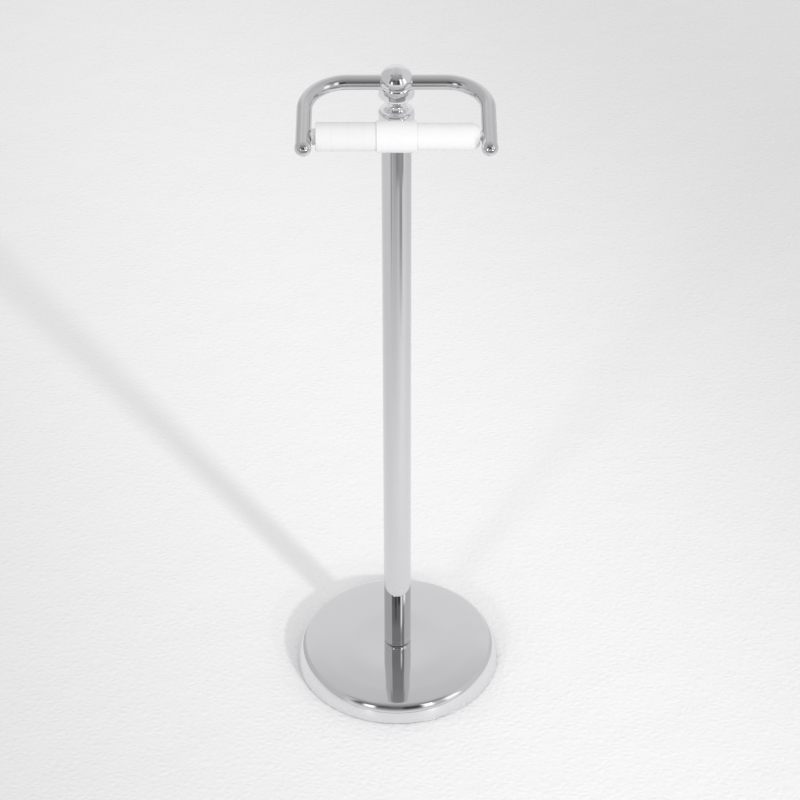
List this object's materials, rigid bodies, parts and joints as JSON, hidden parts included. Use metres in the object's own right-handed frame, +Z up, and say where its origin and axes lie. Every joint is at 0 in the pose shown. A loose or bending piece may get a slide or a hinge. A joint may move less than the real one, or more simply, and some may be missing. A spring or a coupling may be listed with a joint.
{
  "type": "freestanding toilet paper holder",
  "caption": "Weighted round base, straight chromed pole and bent tube yoke that holds a spring-loaded plastic roller for one toilet roll.",
  "frame": {"origin": "centre of the base on the floor, on the pole's axis", "axes": "+Z up along the pole, -Y towards the front where the roller is, +X to the right seen from the front"},
  "size_m": [0.192, 0.192, 0.65],
  "materials": {
    "chrome_base": "polished chrome plate on spun steel",
    "chrome_pole": "polished chrome plate on steel tube",
    "chrome_hub": "polished chrome plate on turned metal",
    "chrome_yoke": "polished chrome plate on bent tube",
    "cast_iron": "raw casting, oiled",
    "soft_pad": "matte foam rubber",
    "plated_steel": "zinc plated",
    "nylon": "translucent nylon",
    "white_plastic": "moulded white plastic, satin"
  },
  "bodies": {
    "stand": {"base_shell": "chrome_base", "base_weight": "cast_iron", "base_pad": "soft_pad", "base_bolt": "plated_steel", "base_washer": "plated_steel", "base_lock_washer": "plated_steel", "foot_washer": "nylon", "pole_foot": "chrome_pole", "pole_tube": "chrome_pole", "pole_top_plug": "plated_steel", "pole_cap": "chrome_hub", "hub_washer": "nylon", "hub_body": "chrome_hub", "hub_dome": "chrome_hub", "hub_stud": "plated_steel", "yoke_tube": "chrome_yoke", "left_ball_end": "chrome_yoke", "right_ball_end": "chrome_yoke"},
    "roller_left": {"roller_plug": "white_plastic", "roller_spring": "plated_steel"},
    "roller_right": {"roller_socket": "white_plastic"}
  },
  "joints": [
    {"name": "roller_spin", "type": "hinge", "parent": "stand", "child": "roller_left", "pos_m": [0, -0.07057, 0.62634], "axis": [1, 0, 0], "continuous": true},
    {"name": "roller_compress", "type": "slide", "parent": "roller_left", "child": "roller_right", "axis": [1, 0, 0], "range_m": [-0.014, 0], "stiffness_N_per_m": 150, "springref_m": 0.02, "deforming": ["roller_spring"]}
  ]
}
